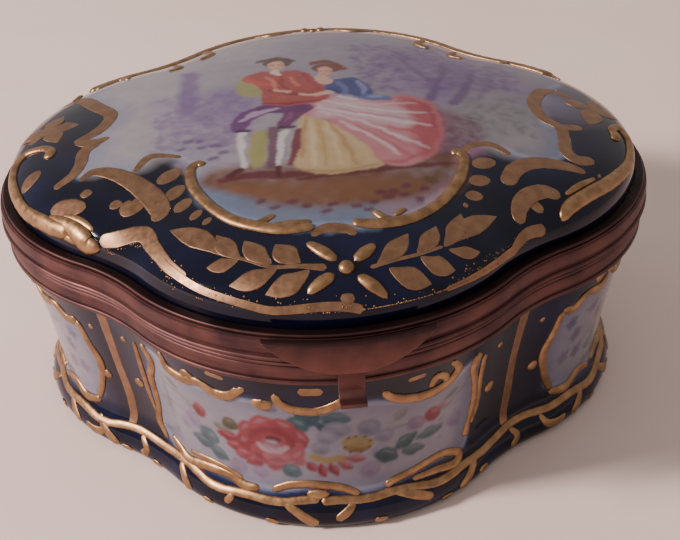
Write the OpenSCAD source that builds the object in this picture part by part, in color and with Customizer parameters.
// Hinged porcelain trinket box with a four-lobed plan, metal rim mounts and a snap tongue.
// Millimetres, +Z up. The origin is under the middle of the foot; the front is at -Y and the hinge at +Y.

/* [Plan outline] */
// Length of the lid at its rim, from side lobe to side lobe
plan_l = 108; // [104:1:112]
// Width of the lid at its rim, from front lobe to back lobe
plan_w = 101; // [99:1:104]
// Radius of the front and back lobes
front_lobe_r = 35.5; // [34:0.5:37]
// Radius of the left and right lobes
side_lobe_r = 34.5; // [33:0.5:36]
// Radius of the hollow corners between the lobes
corner_r = 36; // [30:1:44]

/* [Porcelain] */
// Height of the joint between the two rim mounts
joint_z = 35.3; // [33:0.1:38]
// Height of the crown of the lid above the joint
crown_h = 15.2; // [14:0.1:17]
// Thickness of the porcelain walls
wall_t = 2.3; // [2:0.1:2.6]
// Thickness of the floor of the bowl
floor_t = 2.6; // [2.2:0.1:3]

/* [Rim mounts] */
// Height of the moulded mount round the mouth of the body
body_mount_h = 4.1; // [3.8:0.1:4.3]
// Height of the moulded mount round the lid
lid_mount_h = 4.2; // [4:0.1:4.5]
// Gap left between the two mounts when the box is shut
joint_gap = 0.26; // [0.2:0.02:0.3]
// How far the locating lip stands above the joint
lip_h = 1.4; // [1:0.1:1.6]

/* [Hinge] */
// Outer radius of the hinge barrel
barrel_r = 1.3; // [1.2:0.05:1.35]
// Radius of the hinge pin
pin_r = 0.6; // [0.5:0.05:0.7]
// Length of the hinge barrel
barrel_l = 17; // [15:0.5:18]

/* [Catch] */
// Sideways place of the thumb-piece and its tongue
catch_x = 4; // [3:0.5:5]
// Width of the thumb-piece along the rim
thumb_l = 24.5; // [23:0.5:30]
// Width of the spring tongue
tongue_w = 3.8; // [3.4:0.1:5]
// Thickness of the spring tongue
tongue_t = 0.7; // [0.6:0.05:0.8]

/* [Hidden] */
$fn = 120;
over = 0.5;                        // how far a cutter runs past what it cuts
snug = 0.03;                       // gap between pieces that are fixed to each other

// Arc centres of one quarter of the plan: front lobe on -Y, side lobe on +X, hollow corner outside both
front_c = plan_w / 2 - front_lobe_r;
side_c = plan_l / 2 - side_lobe_r;
lobe_gap = norm([side_c, front_c]);
reach_f = front_lobe_r + corner_r;
reach_s = side_lobe_r + corner_r;
along = (reach_f * reach_f - reach_s * reach_s + lobe_gap * lobe_gap) / (2 * lobe_gap);
away = sqrt(reach_f * reach_f - along * along);
corner_c = [0, -front_c] + (along * [side_c, front_c] + away * [front_c, -side_c]) / lobe_gap;
front_a = atan2(corner_c[0], -corner_c[1] - front_c);
side_a = atan2(-corner_c[1], corner_c[0] - side_c);

// Heights of the rims, and offsets from the plan outline (positive is outwards)
body_rim_z = joint_z - 0.8;
body_mount_z = joint_z - body_mount_h;
lid_z = joint_z + joint_gap;
lid_rim_z = lid_z + 1.9;
lid_mount_top = lid_z + lid_mount_h;
flange_t = 0.4;
mount_in = -0.5;
rim_off = -1.3;
flange_in = -0.95;
body_mount_out = 0.9;
lid_mount_out = 1.3;
lip_t = 0.5;
lip_off = -1.2;

// Hinge axis, outside the mounts at the back
hinge_y = plan_w / 2 + lid_mount_out + 0.3 + barrel_r;
hinge_z = joint_z + joint_gap / 2;
knuckle_gap = 0.1;
end_l = barrel_l * 0.2;
mid_l = barrel_l * 0.19;
leaf_h = 3;
leaf_clear = 0.35;
fixed_fit = 0.01;
running_fit = 0.03;

// Points round the plan at offset d, from the front, counter-clockwise
lobe_n = 11;
corner_n = 7;
function turn(c, r, a0, a1, n) = [for (i = [0:n - 1]) let (a = a0 + (a1 - a0) * i / n) c + r * [cos(a), sin(a)]];
function quarter(d) = concat(
    turn([0, -front_c], front_lobe_r + d, -90, -90 + front_a, lobe_n),
    turn(corner_c, corner_r - d, 90 + front_a, 180 - side_a, corner_n),
    turn([side_c, 0], side_lobe_r + d, -side_a, 0, lobe_n));
function flip(q, mx, my) = [for (p = q) [p[0] * mx, p[1] * my]];
function flip_y(p) = [p[0], -p[1]];
function back(q) = [for (i = [len(q) - 1:-1:1]) q[i]];
// the end point of each quarter is the start of the next, so a quarter run backwards drops its first
function ring(d) = let (q = quarter(d), tip = [[side_c + side_lobe_r + d, 0]], all = concat(q, tip)) concat(
    q, flip(back(all), 1, -1), flip(q, -1, -1), flip(back(all), -1, 1));

// A closed shell lofted through rows of [offset, scale, height], outside bottom to inside bottom
module loft(rows) {
    rings = [for (r = rows) [for (p = ring(r[0])) [p[0] * r[1], p[1] * r[1], r[2]]]];
    n = len(rings[0]);
    m = len(rings);
    first = [0, 0, rows[0][2]];
    last = [0, 0, rows[m - 1][2]];
    points = concat([for (r = rings) each r], [first, last]);
    sides = [for (j = [0:m - 2], i = [0:n - 1]) let (k = (i + 1) % n, a = j * n, b = a + n)
        each [[a + i, b + i, a + k], [a + k, b + i, b + k]]];
    ends = [for (i = [0:n - 1]) let (k = (i + 1) % n, b = (m - 1) * n) each [[n * m, i, k], [n * m + 1, b + k, b + i]]];
    polyhedron(points, concat(sides, ends), convexity = 6);
}

// The plan outline at offset d, from true arcs
module plan(d) {
    difference() {
        union() {
            for (s = [-1, 1]) {
                translate([0, s * front_c]) circle(front_lobe_r + d);
                translate([s * side_c, 0]) circle(side_lobe_r + d);
            }
            polygon([[0, -front_c], corner_c, [side_c, 0], flip_y(corner_c),
                     [0, front_c], -corner_c, [-side_c, 0], -flip_y(corner_c)]);
        }
        for (sx = [-1, 1], sy = [-1, 1])
            translate([corner_c[0] * sx, corner_c[1] * sy]) circle(corner_r - d);
    }
}

// A band of the plan between two offsets, standing on z
module band(outer, inner, z, h) {
    translate([0, 0, z]) linear_extrude(h) difference() {
        plan(outer);
        plan(inner);
    }
}

// A moulded rim strip: each step is [height, outer offset], from its lower edge up
module moulding(steps, z) {
    for (i = [0:len(steps) - 1]) {
        below = i == 0 ? 0 : total([for (j = [0:i - 1]) steps[j][0]]);
        band(steps[i][1], mount_in, z + below, steps[i][0]);
    }
}
function total(v) = v * [for (x = v) 1];

// Bowl of the box: foot ring, flared foot, tapering wall, rebated rim and a round-cornered inside
module porcelain_body() {
    wall_top = body_mount_z - 0.05;
    foot = [[-9, 1], [-7.8, 0], [-3.7, 0], [-2.6, 0.4], [-1.95, 1.5], [-1.95, 2.8], [-2.4, 4.1], [-3.1, 5],
            [-3.9, 6.2], [-4.2, 7.8]];
    wall = [for (t = [0.25:0.25:1]) [-4.2 + 3.6 * pow(t, 1.3), 7.8 + (wall_top - 7.8) * t]];
    rim = [[rim_off, wall_top + 0.1], [rim_off, body_rim_z], [rim_off - wall_t, body_rim_z]];
    inner = [for (t = [1:-0.25:0]) [-4.4 - wall_t + 2.9 * pow(t, 1.3), 9 + (body_rim_z - 4 - 9) * t]];
    floor_z = 1 + floor_t;
    cove = [for (a = [30:30:90]) [-4.4 - wall_t - 5.4 * (1 - cos(a)), 9 - (9 - floor_z) * sin(a)]];
    color("midnightblue") loft([for (p = concat(foot, wall, rim, inner, cove)) [p[0], 1, p[1]]]);
}

// Lid: domed shell whose lobes fade out towards the crown
module porcelain_lid() {
    shoulder_z = lid_mount_top + 1.2;
    crown_z = joint_z + crown_h;
    under_z = lid_rim_z + 1.2;
    steps = 10;
    under = [for (i = [steps - 1:-1:0]) let (a = 90 * i / steps)
        [rim_off - wall_t, pow(cos(a), 0.77), under_z + (crown_z - wall_t - under_z) * pow(sin(a), 0.82)]];
    rim = [[rim_off - wall_t, 1, lid_rim_z], [rim_off, 1, lid_rim_z], [rim_off, 1, lid_mount_top - 0.5],
           [rim_off + 0.15, 1, lid_mount_top + 0.1]];
    dome = [for (i = [0:steps - 1]) let (a = 90 * i / steps)
        [rim_off + 0.15, pow(cos(a), 0.77), shoulder_z + (crown_z - shoulder_z) * pow(sin(a), 0.82)]];
    color("navy") loft(concat(under, rim, dome));
}

// Moulded strip round the mouth, with a flange turned in over the porcelain
module body_mount() {
    steps = [[0.7, 0.75], [0.25, 0.45], [1.5, 0.65], [0.25, 0.4], [0.55, 0.85], [0.2, 0.5]];
    color("rosybrown") union() {
        moulding(steps, body_mount_z);
        band(body_mount_out, mount_in, body_mount_z + 3.45, body_mount_h - 3.45);
        band(mount_in + 0.1, lip_off - lip_t, joint_z - flange_t, flange_t);
    }
}

// Moulded strip round the lid, with a flange turned in against the porcelain
module lid_mount() {
    steps = [[0.55, lid_mount_out], [0.2, 0.85], [0.5, 1.15], [0.25, 0.7], [2, 1.1], [0.2, 0.6]];
    color("rosybrown") union() {
        moulding(steps, lid_z);
        band(0.3, mount_in, lid_z + 3.7, lid_mount_h - 3.7);
        band(mount_in + 0.1, flange_in, lid_mount_top - flange_t, flange_t);
    }
}

// Plaster that fixes each mount to its porcelain
module bedding(z0, z1) {
    color("ivory") band(mount_in - snug, rim_off + snug, z0, z1 - z0);
}
module body_bedding() { bedding(body_mount_z + 0.15, body_rim_z); }
module lid_bedding() { bedding(lid_rim_z, lid_mount_top - flange_t - snug); }

// Thin strip standing inside the joint, over which the lid mount closes
module locating_lip() {
    color("peru") band(lip_off, lip_off - lip_t, joint_z, lip_h);
}

// One knuckle of the hinge from x0 to x1: side is -1 on the body and 1 on the lid
module knuckle(x0, x1, side, fit, mount_off) {
    leaf_z = side > 0 ? hinge_z + leaf_clear : hinge_z - leaf_clear - leaf_h;
    color("saddlebrown") difference() {
        union() {
            translate([x0, hinge_y, hinge_z]) rotate([0, 90, 0]) cylinder(h = x1 - x0, r = barrel_r);
            translate([x0, plan_w / 2, leaf_z]) cube([x1 - x0, hinge_y - plan_w / 2, leaf_h]);
        }
        translate([0, 0, leaf_z - over]) linear_extrude(leaf_h + 2 * over) plan(mount_off + snug);
        translate([x0 - over, hinge_y, hinge_z]) rotate([0, 90, 0]) cylinder(h = x1 - x0 + 2 * over, r = pin_r + fit);
    }
}
module body_knuckle(x0, x1) { knuckle(x0, x1, -1, fixed_fit, body_mount_out); }
module lid_knuckle(x0, x1) { knuckle(x0, x1, 1, running_fit, lid_mount_out); }
module body_knuckle_left() { body_knuckle(-barrel_l / 2, end_l - barrel_l / 2); }
module body_knuckle_middle() { body_knuckle(-mid_l / 2, mid_l / 2); }
module body_knuckle_right() { body_knuckle(barrel_l / 2 - end_l, barrel_l / 2); }
module lid_knuckle_left() { lid_knuckle(end_l - barrel_l / 2 + knuckle_gap, -mid_l / 2 - knuckle_gap); }
module lid_knuckle_right() { lid_knuckle(mid_l / 2 + knuckle_gap, barrel_l / 2 - end_l - knuckle_gap); }

// Hinge pin, peened over at both ends
module hinge_pin() {
    head_t = 0.25;
    half = barrel_l / 2 + snug;
    color("dimgray") translate([0, hinge_y, hinge_z]) rotate([0, 90, 0]) union() {
        translate([0, 0, -half]) cylinder(h = 2 * half, r = pin_r);
        for (s = [-half - head_t, half]) translate([0, 0, s]) cylinder(h = head_t, r = pin_r + 0.3);
    }
}

// Frame of the catch, turned about the front lobe so that it faces out at catch_x
catch_r = front_lobe_r + lid_mount_out + snug;
catch_a = asin(catch_x / catch_r);
module at_catch() { translate([0, -front_c, 0]) rotate([0, 0, catch_a]) children(); }

// Segment-shaped plate soldered to the lid mount, grooved behind for the tongue
module thumb_piece() {
    plate_t = 1.4;
    drop = 5.2;
    top_z = lid_mount_top - 0.15;
    bow = (thumb_l * thumb_l / 4 + drop * drop) / (2 * drop);
    color("maroon") at_catch() difference() {
        intersection() {
            translate([0, 0, top_z - drop - over]) difference() {
                cylinder(h = drop + 2 * over, r = catch_r + plate_t);
                translate([0, 0, -over]) cylinder(h = drop + 4 * over, r = catch_r);
            }
            translate([0, 0, top_z - drop + bow]) rotate([90, 0, 0]) cylinder(h = 2 * catch_r, r = bow);
            translate([-thumb_l, -2 * catch_r, top_z - drop]) cube([2 * thumb_l, 2 * catch_r, drop]);
        }
        translate([-tongue_w / 2 - snug, -catch_r - tongue_t - snug, top_z - drop - over])
            cube([tongue_w + 2 * snug, tongue_t + over, drop]);
    }
}

// Spring tongue hanging from the thumb-piece over the body mount, its end turned out
module catch_tongue() {
    top_z = lid_mount_top - 0.8;
    curl_r = 1.8;
    end_z = body_mount_z - 1.5;
    reach = (hinge_y + barrel_r - front_c - tongue_w / 2 * sin(catch_a)) / cos(catch_a);
    color("sienna") at_catch() rotate([90, 0, -90]) translate([0, 0, -tongue_w / 2]) linear_extrude(tongue_w) {
        translate([catch_r, end_z + curl_r]) square([tongue_t, top_z - end_z - curl_r]);
        translate([catch_r + curl_r, end_z]) square([reach - catch_r - curl_r, tongue_t]);
        intersection() {
            translate([catch_r + curl_r, end_z + curl_r]) difference() {
                circle(curl_r);
                circle(curl_r - tongue_t);
            }
            translate([catch_r, end_z]) square(curl_r);
        }
    }
}

porcelain_body();
body_mount();
body_bedding();
locating_lip();
body_knuckle_left();
body_knuckle_middle();
body_knuckle_right();
hinge_pin();
porcelain_lid();
lid_mount();
lid_bedding();
lid_knuckle_left();
lid_knuckle_right();
thumb_piece();
catch_tongue();
